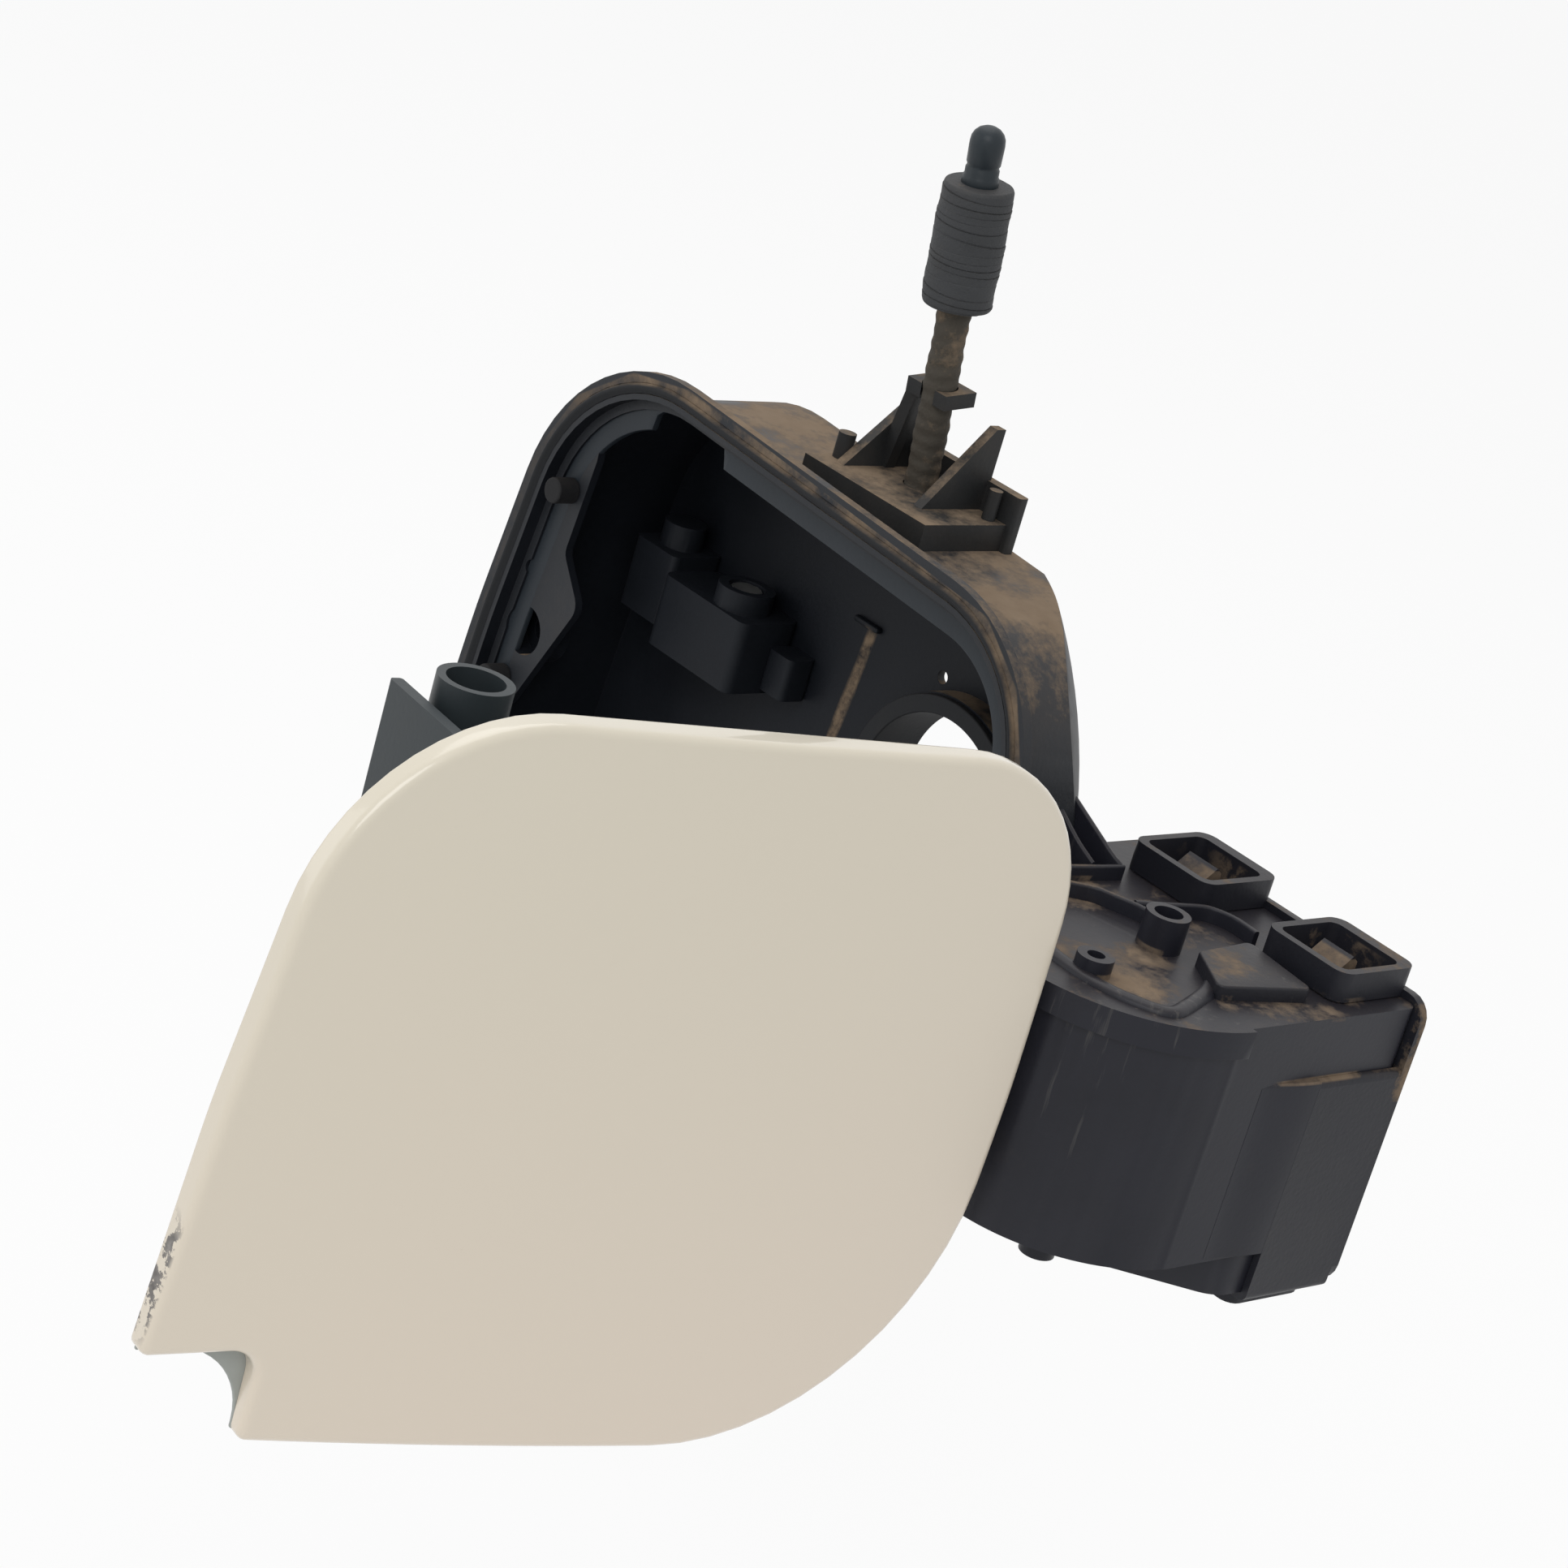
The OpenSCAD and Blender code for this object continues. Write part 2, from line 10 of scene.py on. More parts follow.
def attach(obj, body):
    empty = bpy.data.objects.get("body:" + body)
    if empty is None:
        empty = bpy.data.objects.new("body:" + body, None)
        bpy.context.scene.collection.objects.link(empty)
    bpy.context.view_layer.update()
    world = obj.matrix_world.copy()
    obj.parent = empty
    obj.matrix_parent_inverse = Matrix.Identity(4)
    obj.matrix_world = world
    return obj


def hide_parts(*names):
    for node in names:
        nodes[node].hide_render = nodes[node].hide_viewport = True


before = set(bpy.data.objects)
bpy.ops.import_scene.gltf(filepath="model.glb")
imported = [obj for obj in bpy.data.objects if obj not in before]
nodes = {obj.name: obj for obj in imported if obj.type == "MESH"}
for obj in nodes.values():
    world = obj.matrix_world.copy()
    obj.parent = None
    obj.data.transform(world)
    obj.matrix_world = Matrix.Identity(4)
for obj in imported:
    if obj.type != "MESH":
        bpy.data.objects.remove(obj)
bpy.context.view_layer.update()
MM = 0.001

# Sizes in millimetres, as the frame has them. The flap's are given for the shut flap.
CROWN_R, CROWN_TOP = 1400.0, 11.5
SKIN, ROLL, HEM_BACK, NOTCH_BACK = 0.9, 1.9, -1.5, -3.45
# The hem belongs to the notch where it lies left of and below these
NOTCH_X, NOTCH_Z = -77.0, -50.5
PIN_X, PIN_Y, OPEN = 148.0, 11.0, math.radians(84)
# Corners of the mouth and of the flap as x, z and radius
MOUTH_CORNERS = [
    (-107.0, -70.5, 5.0), (102.0, -96.5, 66.0), (105.5, 0.0, 260.0),
    (105.5, 81.5, 41.0), (-87.0, 93.5, 50.0), (-100.0, 5.0, 300.0),
]
FLAP_CORNERS = [(-77.5, -74.2, 2.6)] + MOUTH_CORNERS[1:] + [(-105.2, -51.5, 2.5), (-77.5, -51.5, 7.0)]
# Depth of the land, and how far inside the mouth's edge the flat band begins and ends
LAND_Y, BAND_OUT, BAND_IN = 5.0, 6.6, 13.0
# Middle height and half height of the gap that the arm swings through
ARM_Z, SEAL_GAP, BAND_GAP = -4.0, 27.5, 27.2
# The dip in the band for the shut flap's catch: middle, half width, slope at both ends, share of the band
CATCH_X, CATCH_ROOM, DIP_SLOPE, DIP_SHARE = -41.4, 15.2, 2.2, 0.8
# The drip ledge on the bowl's back wall: start, middle depth and height, half sizes and the wall's face
LEDGE_X, LEDGE_Y, LEDGE_Z, LEDGE_HALF_Y, LEDGE_HALF_Z, BACK_WALL_Y = -5.5, 47.2, 43.6, 1.6, 0.9, 48.2
# The release lead: its foot on the basin's top, its lean forward and the lengths along it
LEAD_FOOT, LEAN = np.array([12.0, 38.0, 86.33]), math.radians(7.5)
LEAD_L, WRAP_L = 52.0, 32.0
# The swell on the housing's right side: inner and least outer face, rise, and where it starts and ends
STEP_IN, STEP_OUT, STEP_RISE, STEP_START, STEP_END = 188.4, 189.05, 1.92, 20.0, 39.3


# ---- Shapes ----

def outline(corners, inset, arc=14, straight=10):
    """Points round a straight-sided outline with rounded corners, moved inwards by inset.

    Each corner moves along the sum of its two side directions, divided by the sine between them.
    A round corner keeps its centre, so its radius shrinks by the inset where the corner points out
    and grows where it points in.
    """
    pts = np.array([c[:2] for c in corners], float)
    rad = np.array([c[2] for c in corners], float)
    back, ahead = np.roll(pts, 1, 0) - pts, np.roll(pts, -1, 0) - pts
    back /= np.linalg.norm(back, axis=1)[:, None]
    ahead /= np.linalg.norm(ahead, axis=1)[:, None]
    cross = ahead[:, 0] * back[:, 1] - ahead[:, 1] * back[:, 0]
    shift = (back + ahead) / cross[:, None]
    pts = pts + shift * inset
    rad = np.maximum(rad - np.sign(cross) * inset, 0.2)
    centre = pts + (back + ahead) / np.abs(cross)[:, None] * rad[:, None]
    reach = rad * (1 + (back * ahead).sum(1)) / np.abs(cross)
    start, stop = pts + back * reach[:, None] - centre, pts + ahead * reach[:, None] - centre
    a0 = np.arctan2(start[:, 1], start[:, 0])
    turn = (np.arctan2(stop[:, 1], stop[:, 0]) - a0 + np.pi) % (2 * np.pi) - np.pi
    t = np.linspace(0, 1, arc)
    ang = a0[:, None] + turn[:, None] * t
    arcs = centre[:, None] + rad[:, None, None] * np.stack([np.cos(ang), np.sin(ang)], -1)
    ends, nexts = arcs[:, -1], np.roll(arcs[:, 0], -1, 0)
    s = np.linspace(0, 1, straight + 2)[1:-1]
    sides = ends[:, None] + (nexts - ends)[:, None] * s[None, :, None]
    return np.concatenate([arcs, sides], 1).reshape(-1, 2)


def inset_at(x, z):
    """How far points lie inside the mouth's edge in millimetres, negative outside it.

    It is the least distance to the outline's segments, signed by whether a ray to the right crosses
    the outline an odd number of times.
    """
    a = outline(MOUTH_CORNERS, 0)
    d = np.roll(a, -1, 0) - a
    p = np.stack([x, z], -1)[:, None]
    t = np.clip(((p - a) * d).sum(-1) / (d * d).sum(-1), 0, 1)
    gap = np.linalg.norm(p - a - t[..., None] * d, axis=-1).min(1)
    spans = (a[:, 1] > p[..., 1]) != (a[:, 1] + d[:, 1] > p[..., 1])
    rise = np.where(d[:, 1] == 0, 1.0, d[:, 1])
    right = p[..., 0] < a[:, 0] + (p[..., 1] - a[:, 1]) * d[:, 0] / rise
    return np.where((spans & right).sum(1) % 2 == 1, gap, -gap)


def mark_inset(piece, on_flap=False):
    """Stores on each point how far inside the mouth's edge it lies, for the flap as if it were shut."""
    at = np.empty(len(piece.data.vertices) * 3)
    piece.data.vertices.foreach_get("co", at)
    at = at.reshape(-1, 3) / MM
    if on_flap:
        at = swing(at, -OPEN)
    layer = piece.data.attributes.new("inset", "FLOAT", "POINT")
    layer.data.foreach_set("value", inset_at(at[:, 0], at[:, 2]))
    return piece


def add_object(name, data):
    """Puts data into the scene as an object."""
    thing = bpy.data.objects.new(name, data)
    bpy.context.scene.collection.objects.link(thing)
    return thing


def clean_mesh(mesh, merge, sharp, flat=None):
    """Merges doubled points, joins faces flatter than the flat angle, turns normals out and shades smooth."""
    bm = bmesh.new()
    bm.from_mesh(mesh)
    bmesh.ops.remove_doubles(bm, verts=bm.verts, dist=merge)
    if flat:
        bmesh.ops.dissolve_limit(bm, angle_limit=math.radians(flat), verts=bm.verts, edges=bm.edges)
    bmesh.ops.recalc_face_normals(bm, faces=bm.faces)
    bm.to_mesh(mesh)
    bm.free()
    mesh.polygons.foreach_set("use_smooth", np.ones(len(mesh.polygons), bool))
    mesh.set_sharp_from_angle(angle=math.radians(sharp))


def grid_piece(name, rows):
    """A closed mesh from an array of rings: ring i, point j, xyz in millimetres, capped at both ends."""
    n, m = rows.shape[:2]
    i = np.arange(n - 1)[:, None]
    j = np.arange(m)[None, :]
    on = (j + 1) % m
    quads = np.stack([i * m + j, i * m + on, (i + 1) * m + on, (i + 1) * m + j], -1)
    faces = quads.reshape(-1, 4).tolist()
    faces.append(list(range(m))[::-1])
    faces.append(list(range((n - 1) * m, n * m)))
    mesh = bpy.data.meshes.new(name)
    mesh.from_pydata((rows.reshape(-1, 3) * MM).tolist(), [], faces)
    mesh.update()
    clean_mesh(mesh, merge=1e-6, sharp=40)
    return add_object(name, mesh)


def standing(xz, y):
    """A ring in the plane of the mouth: x and z from the points, and the depth y as a number or an array."""
    return np.stack([xz[:, 0], np.broadcast_to(y, len(xz)), xz[:, 1]], -1)


def lying(xy, z):
    """A level ring: x and y from the points, all at height z."""
    return np.column_stack([xy, np.full(len(xy), z)])


def swing(p, angle=OPEN):
    """Turns shut-flap points about the pin to where the flap stands open: a plane rotation in x and y."""
    x, y = p[..., 0] - PIN_X, p[..., 1] - PIN_Y
    c, s = math.cos(angle), math.sin(angle)
    return np.stack([PIN_X + x * c - y * s, PIN_Y + x * s + y * c, p[..., 2]], -1)


def crown(x, z):
    """Depth of the flap's outer face: a sphere of the crown radius whose nearest point is the crown's top."""
    return CROWN_R - CROWN_TOP - np.sqrt(CROWN_R ** 2 - x ** 2 - z ** 2)


def flap_panel():
    """The pressed skin: the crown shrunk to the middle, a rolled edge, a hem wall and the same inside.

    Ring k of a roll lies at inset r(1 - sin t) and depth r(1 - cos t) below the crown, for t from 0
    to a right angle.
    """
    rings = []

    def ring(inset, depth, shrink=1.0):
        p = outline(FLAP_CORNERS, inset) * shrink
        rings.append(standing(p, crown(p[:, 0], p[:, 1]) + depth))

    def wall(inset, y):
        p = outline(FLAP_CORNERS, inset)
        in_notch = (p[:, 0] < NOTCH_X + inset) & (p[:, 1] < NOTCH_Z + inset)
        rings.append(standing(p, np.where(in_notch, NOTCH_BACK + 0.1 * (y - HEM_BACK), y)))

    for k in np.linspace(0.02, 1, 26) ** 0.8:
        ring(ROLL + 0.4, 0, k)
    for t in np.linspace(0, np.pi / 2, 7):
        ring(ROLL * (1 - math.sin(t)), ROLL * (1 - math.cos(t)))
    for y in (-3.4, -2.2, HEM_BACK - 0.25):
        wall(0, y)
    wall(0.2, HEM_BACK)
    wall(SKIN - 0.2, HEM_BACK)
    wall(SKIN, HEM_BACK - 0.25)
    wall(SKIN, -3.2)
    for t in np.linspace(np.pi / 2, 0, 5):
        ring(SKIN + (ROLL - SKIN) * (1 - math.sin(t)), SKIN + (ROLL - SKIN) * (1 - math.cos(t)))
    for k in np.linspace(1, 0.02, 12):
        ring(ROLL + 0.4, SKIN, k)
    return mark_inset(grid_piece("flap_panel", swing(np.array(rings))), True)


def open_at_arm(name, rows, side, half):
    """A strip round the mouth from rings of its profile, with the stretch that the arm passes left out."""
    x, z = rows[..., 0].mean(0), rows[..., 2].mean(0)
    gap = (x > side) & (np.abs(z - ARM_Z) < half)
    keep = np.roll(np.arange(rows.shape[1]), -int(np.flatnonzero(gap)[-1]) - 1)
    keep = keep[~gap[keep]]
    return mark_inset(grid_piece(name, rows[:, keep].transpose(1, 0, 2)))


def seal_band():
    """The rubber seal: a bulb-and-lip profile carried round the mouth, each point a fixed inset and depth."""
    profile = [(0.45, 1.35), (0.42, 0.2), (0.7, -0.35), (1.1, -0.95), (1.6, -1.18), (2.1, -1.05),
               (2.5, -0.6), (2.9, -0.3), (3.3, 0.1), (3.38, 1.35)]
    rows = np.array([standing(outline(MOUTH_CORNERS, inset, 20, 24), y) for inset, y in profile])
    return open_at_arm("seal_band", rows, 90, SEAL_GAP)


def mouth_band():
    """The flat band inside the seal: a strip between two inset outlines, narrowed where the catch passes.

    Across the strip the profile steps down from the wall, runs level at the land's depth and turns
    back at its edge. The narrowing eases in and out by the cubic 3t^2 - 2t^3.
    """
    inner = outline(MOUTH_CORNERS, BAND_IN, 30, 110)
    outer = outline(MOUTH_CORNERS, BAND_OUT, 30, 110)
    dip = np.clip((CATCH_ROOM - np.abs(inner[:, 0] - CATCH_X)) / DIP_SLOPE, 0, 1) * (inner[:, 1] > 60)
    share = 1 - DIP_SHARE * dip * dip * (3 - 2 * dip)
    profile = [(0.0, 1.9), (0.0, -0.12), (0.35, -0.12), (0.9, -0.1), (0.97, 0.0), (1.0, 0.3),
               (1.0, 1.6), (0.96, 1.9)]
    rows = [standing(outer + (inner - outer) * (across * share)[:, None], LAND_Y + y)
            for across, y in profile]
    return open_at_arm("mouth_band", np.array(rows), 80, BAND_GAP)


def drip_ledge():
    """A short rib on the bowl's back wall: a rounded bar whose section is a superellipse."""
    a = np.linspace(0, 2 * np.pi, 32, endpoint=False)
    along = np.array([0, 0.3, 1.0, 9.0, 9.7, 10.0])
    size = np.array([0.5, 0.85, 1.0, 1.0, 0.85, 0.5])
    y = LEDGE_Y + LEDGE_HALF_Y * size[:, None] * np.sign(np.cos(a)) * np.abs(np.cos(a)) ** 0.6
    z = LEDGE_Z + LEDGE_HALF_Z * size[:, None] * np.sign(np.sin(a)) * np.abs(np.sin(a)) ** 0.6
    x = along[:, None] + LEDGE_X + 0 * y
    return grid_piece("drip_ledge", np.stack([x, np.minimum(y, BACK_WALL_Y), z], -1))


def rail(name, path, half, foot, top=None):
    """A rounded rib carried along a path in plan, smoothed by averaging each point with its neighbours.

    A section point lies at half * u along the path's normal and at the top less half * drop, or at
    the foot. Where the path's points have a third number, it is the top's height there.
    """
    knots = np.array(path, float)
    t = np.linspace(0, len(knots) - 1, 8 * len(knots))
    line = np.stack([np.interp(t, np.arange(len(knots)), axis) for axis in knots.T], -1)
    for _ in range(12):
        line[1:-1] = (line[:-2] + 2 * line[1:-1] + line[2:]) / 4
    along = np.gradient(line[:, :2], axis=0)
    across = np.stack([-along[:, 1], along[:, 0]], -1) / np.linalg.norm(along, axis=1)[:, None]
    tops = line[:, 2] if top is None else np.full(len(line), top)
    u = np.array([-1, -1, -0.92, -0.66, -0.25, 0.25, 0.66, 0.92, 1, 1])
    drop = np.array([0, 0.9, 0.42, 0.12, 0, 0, 0.12, 0.42, 0.9, 0])
    xy = line[:, None, :2] + across[:, None] * u[None, :, None] * half
    z = tops[:, None] - half * drop[None, :]
    z[:, 0] = z[:, -1] = foot
    return grid_piece(name, np.concatenate([xy, z[..., None]], -1))


def raised_plate(name, corners, low, high, edge):
    """A low plate with rounded corners: its outline drawn up, turned in by a quarter arc and closed over."""
    rings = [(outline(corners, 0, 8, 4), z) for z in (low, high - edge)]
    for t in np.linspace(0, np.pi / 2, 5)[1:]:
        rings.append((outline(corners, edge * (1 - math.cos(t)), 8, 4), high - edge * (1 - math.sin(t))))
    middle = rings[-1][0].mean(0)
    rings.append((middle + (rings[-1][0] - middle) * 0.5, high))
    return grid_piece(name, np.array([lying(xy, z) for xy, z in rings]))


def side_step():
    """The swell of the housing's side wall up to the cover's skirt: a wedge whose face is a cosine ramp."""
    span = STEP_END - STEP_START
    y = np.linspace(STEP_START, STEP_END, 16)
    x = STEP_OUT + STEP_RISE * (0.5 - 0.5 * np.cos(np.pi * (y - STEP_START) / span)) ** 0.8
    loop = np.concatenate([np.stack([x, y], -1), [[STEP_IN, STEP_END], [STEP_IN, STEP_START]]])
    rows = []
    for z, lean in ((-36.0, 0), (9.9, 0), (10.5, 0.12), (10.9, 0.5)):
        ring = loop.copy()
        ring[:, 0] = np.maximum(ring[:, 0] - lean, STEP_IN)
        rows.append(lying(ring, z))
    return grid_piece("side_step", np.array(rows))


def eased(node, width):
    """A copy of a moulded or pressed part with its sharper edges rounded by the given width."""
    mesh = nodes[node].data.copy()
    piece = add_object(node + "_shell", mesh)
    clean_mesh(mesh, merge=2e-6, sharp=30, flat=0.6)
    mod = piece.modifiers.new("round", "BEVEL")
    mod.width = width * MM
    mod.segments = 2
    mod.limit_method = "ANGLE"
    mod.angle_limit = math.radians(32)
    mod.harden_normals = True
    mod.use_clamp_overlap = True
    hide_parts(node)
    return piece


def shade_bowl_faces(piece):
    """Puts the darker plastic of the painted shade on the faces that look into the bowl: inside the mouth,
    turned to its middle.
    """
    mesh = piece.data
    centre, normal = np.empty(len(mesh.polygons) * 3), np.empty(len(mesh.polygons) * 3)
    mesh.polygons.foreach_get("center", centre)
    mesh.polygons.foreach_get("normal", normal)
    centre, normal = centre.reshape(-1, 3) / MM, normal.reshape(-1, 3)
    looks_in = ((np.array([0, 8, 0]) - centre) * normal).sum(-1) > 0
    inside = (inset_at(centre[:, 0], centre[:, 2]) > 4.2) & (centre[:, 1] > 0.5)
    mesh.polygons.foreach_set("material_index", (looks_in & inside).astype(int))


def along_lead(p):
    """Tips points of an upright sleeve forward about X and moves them to the lead's foot."""
    c, s = math.cos(LEAN), math.sin(LEAN)
    return np.stack([p[..., 0], p[..., 1] * c - p[..., 2] * s, p[..., 1] * s + p[..., 2] * c], -1) + LEAD_FOOT


def turned(radius, height, count=72):
    """A surface of turning: its radius is given along the profile, or as a function of angle and height."""
    a = np.linspace(0, 2 * np.pi, count, endpoint=False)
    r = radius(a[None, :], height[:, None]) if callable(radius) else np.asarray(radius)[:, None] + 0 * a
    return np.stack([r * np.cos(a), r * np.sin(a), height[:, None] + 0 * a], -1)


def lead_sleeve():
    """The taped sleeve: a tube whose radius ripples with a slow sum of sines, as tape over a loom does."""
    h = np.linspace(0, LEAD_L, 90)

    def radius(a, z):
        slack = 0.12 * np.sin(z * 0.37 + 2 * a) + 0.06 * np.sin(3 * a - z)
        return 4.34 + 0.11 * np.sin(z * 1.7 + 0.8 * np.sin(a + 0.1 * z)) + slack

    return grid_piece("lead_sleeve", along_lead(turned(radius, h)))


def tape_wrap():
    """The tape wrapping: a helical ramp, so each turn of tape laps over the one before, on a swelling core.

    The pitch drifts along the wrap by a slow sine, as it does when tape is wound by hand.
    """
    h = np.concatenate([[0.0], np.linspace(0.001, WRAP_L - 0.001, 300), [WRAP_L]])

    def radius(a, z):
        turns = z / 2.3 + 0.35 * np.sin(z * 0.5) + 0.09 * np.sin(2 * a + 0.7 * z)
        lap = (turns + a / (2 * np.pi)) % 1.0
        deep = 0.6 + 0.4 * np.sin(1.7 * turns + a)
        core = 8.95 + 0.3 * np.sin(np.pi * np.clip(z / WRAP_L, 0, 1)) + 0.1 * np.sin(3 * a + 0.4 * z)
        ends = np.minimum(np.minimum(z, WRAP_L - z) / 0.9, 1.0)
        step = 0.24 * lap ** 0.6 - 0.2 * np.exp(-((lap - 0.03) / 0.07) ** 2)
        return (core + deep * step) * (0.94 + 0.06 * np.sqrt(ends))

    return grid_piece("tape_wrap", along_lead(turned(radius, h, 120) + np.array([0, 0, LEAD_L])))


def lead_end():
    """The end plug: a turned profile with a collar, two shallow rings and a rounded tip."""
    z = np.array([0, 0.6, 1.2, 2.0, 2.4, 4.0, 4.4, 5.0, 5.4, 9.6, 10.6, 12.0, 13.2, 14.2, 14.8, 15.0])
    r = np.array([4.75, 4.78, 4.7, 4.6, 4.35, 4.35, 4.1, 4.1, 4.38, 4.5, 4.5, 4.35, 3.8, 2.8, 1.5, 0.05])
    return grid_piece("lead_end", along_lead(turned(r, z, 64) + np.array([0, 0, LEAD_L + WRAP_L])))


# ---- Node helpers ----

def group(name, ins, outs):
    """A node group with named number inputs, each with its usual value, and named number outputs."""
    g = bpy.data.node_groups.new(name, "ShaderNodeTree")
    for label, default in ins:
        s = g.interface.new_socket(name=label, in_out="INPUT", socket_type="NodeSocketFloat")
        s.default_value = default
    for label in outs:
        g.interface.new_socket(name=label, in_out="OUTPUT", socket_type="NodeSocketFloat")
    return g, g.nodes.new("NodeGroupInput"), g.nodes.new("NodeGroupOutput")


def link(tree, a, b):
    tree.links.new(a, b)


def set_or_link(tree, socket, value):
    """Sets a socket to a number, or joins another socket to it."""
    if isinstance(value, (int, float)):
        socket.default_value = value
    else:
        link(tree, value, socket)


def math_node(tree, op, a, b=None, c=None, clamp=False):
    n = tree.nodes.new("ShaderNodeMath")
    n.operation = op
    n.use_clamp = clamp
    for k, v in enumerate((a, b, c)):
        if v is not None:
            set_or_link(tree, n.inputs[k], v)
    return n.outputs[0]


def times(tree, a, b):
    return math_node(tree, "MULTIPLY", a, b)


def scaled(tree, value, gain, offset, clamp=False):
    """The value times gain, plus offset."""
    return math_node(tree, "MULTIPLY_ADD", value, gain, offset, clamp=clamp)


def over(tree, value, edge, sharp):
    """Rises from 0 to 1 within 1 / sharp above the edge."""
    return math_node(tree, "MULTIPLY", math_node(tree, "SUBTRACT", value, edge), sharp, clamp=True)


def under(tree, value, edge, sharp):
    """Falls from 1 to 0 within 1 / sharp below the edge."""
    return math_node(tree, "MULTIPLY", math_node(tree, "SUBTRACT", edge, value), sharp, clamp=True)


def between(tree, value, low, high, sharp):
    """1 where the value lies between low and high, falling off over 1 / sharp at both ends."""
    return times(tree, over(tree, value, low, sharp), under(tree, value, high, sharp))


def object_xyz(tree):
    coord = tree.nodes.new("ShaderNodeTexCoord")
    xyz = tree.nodes.new("ShaderNodeSeparateXYZ")
    link(tree, coord.outputs["Object"], xyz.inputs[0])
    return xyz.outputs


def inset_value(tree):
    """The stored distance inside the mouth's edge, in millimetres."""
    inset = tree.nodes.new("ShaderNodeAttribute")
    inset.attribute_name = "inset"
    return inset.outputs["Fac"]


def texture(tree, kind, scale, vector=None):
    """A procedural texture of the given kind, in Object coordinates unless a vector is given."""
    n = tree.nodes.new(kind)
    set_or_link(tree, n.inputs["Scale"], scale)
    if vector is None:
        vector = tree.nodes.new("ShaderNodeTexCoord").outputs["Object"]
    link(tree, vector, n.inputs["Vector"])
    return n


def noise(tree, scale, detail, rough, vector=None):
    n = texture(tree, "ShaderNodeTexNoise", scale, vector)
    n.inputs["Detail"].default_value = detail
    n.inputs["Roughness"].default_value = rough
    return n.outputs[0]


def cells(tree, scale):
    """Distance to the nearest of a field of scattered points."""
    return texture(tree, "ShaderNodeTexVoronoi", scale).outputs["Distance"]


def mix_colour(tree, mask, a, b):
    n = tree.nodes.new("ShaderNodeMix")
    n.data_type = "RGBA"
    link(tree, mask, n.inputs["Factor"])
    for label, v in (("A", a), ("B", b)):
        s = [x for x in n.inputs if x.name == label and x.type == "RGBA"][0]
        if isinstance(v, tuple):
            s.default_value = (*v, 1)
        else:
            link(tree, v, s)
    return [x for x in n.outputs if x.type == "RGBA"][0]


def tint(colour, factor, lift=0.0):
    """A colour made darker or paler, and no brighter than white."""
    return tuple(min(1, c * factor + lift) for c in colour)


def new_material(name):
    m = bpy.data.materials.new(name)
    m.use_nodes = True
    return m, m.node_tree, m.node_tree.nodes["Principled BSDF"]


def add_bump(tree, bsdf, height, strength, distance):
    b = tree.nodes.new("ShaderNodeBump")
    b.inputs["Strength"].default_value = strength
    b.inputs["Distance"].default_value = distance
    link(tree, height, b.inputs["Height"])
    link(tree, b.outputs[0], bsdf.inputs["Normal"])


# ---- Shared effects ----

def road_dust():
    """Dried road dust: heavy where a surface faces up, broken by coarse and fine noise."""
    g, i, o = group("road dust", [("Amount", 0.3), ("Scale", 40.0), ("On top", 0.5)], ["Mask", "Film"])
    geo = g.nodes.new("ShaderNodeNewGeometry")
    xyz = g.nodes.new("ShaderNodeSeparateXYZ")
    link(g, geo.outputs["Normal"], xyz.inputs[0])
    up = math_node(g, "MAXIMUM", xyz.outputs["Z"], 0.0)
    coarse = noise(g, i.outputs["Scale"], 7, 0.62)
    fine = noise(g, times(g, i.outputs["Scale"], 9.0), 6, 0.7)
    total = math_node(g, "ADD", times(g, up, i.outputs["On top"]), i.outputs["Amount"])
    total = math_node(g, "ADD", total, coarse)
    total = scaled(g, fine, 0.35, total)
    link(g, over(g, total, 1.12, 4.5), o.inputs["Mask"])
    link(g, over(g, total, 0.8, 0.9), o.inputs["Film"])
    return g


def mould_grain():
    """Fine leathery grain of moulded plastic, as a height."""
    g, i, o = group("mould grain", [("Scale", 900.0)], ["Height"])
    fine = noise(g, i.outputs["Scale"], 3, 0.5)
    pits = cells(g, times(g, i.outputs["Scale"], 0.6))
    link(g, scaled(g, pits, 0.5, fine), o.inputs["Height"])
    return g


def scuffs():
    """Short light scratches: noise drawn out along one direction and cut high."""
    g, i, o = group("scuffs", [("Amount", 0.3), ("Scale", 60.0)], ["Mask"])
    coord = g.nodes.new("ShaderNodeTexCoord")
    turn = g.nodes.new("ShaderNodeMapping")
    turn.inputs["Rotation"].default_value = (0.5, 0.3, 0.9)
    turn.inputs["Scale"].default_value = (6.0, 6.0, 0.5)
    link(g, coord.outputs["Object"], turn.inputs["Vector"])
    streak = noise(g, i.outputs["Scale"], 4, 0.6, turn.outputs[0])
    both = times(g, streak, noise(g, 18.0, 3, 0.5))
    both = math_node(g, "ADD", both, times(g, i.outputs["Amount"], 0.2))
    link(g, over(g, both, 0.42, 12.0), o.inputs["Mask"])
    return g


DUST, GRAIN, SCUFF = road_dust(), mould_grain(), scuffs()


def use_group(tree, g, **values):
    n = tree.nodes.new("ShaderNodeGroup")
    n.node_tree = g
    for k, v in values.items():
        n.inputs[k.replace("_", " ")].default_value = v
    return n.outputs


# ---- Finishes ----

DUST_TONE, PALE_DUST = (0.185, 0.128, 0.080), (0.30, 0.225, 0.155)
# Millimetres: on the housing's flat top, inside the clip loops, on the side ledge, and beside the skirt
ON_TOP, IN_LOOP, ON_LEDGE, BY_SKIRT = (25.8, 28.6), (25.8, 34.0), (10.2, 11.6), (2.0, 28.0)
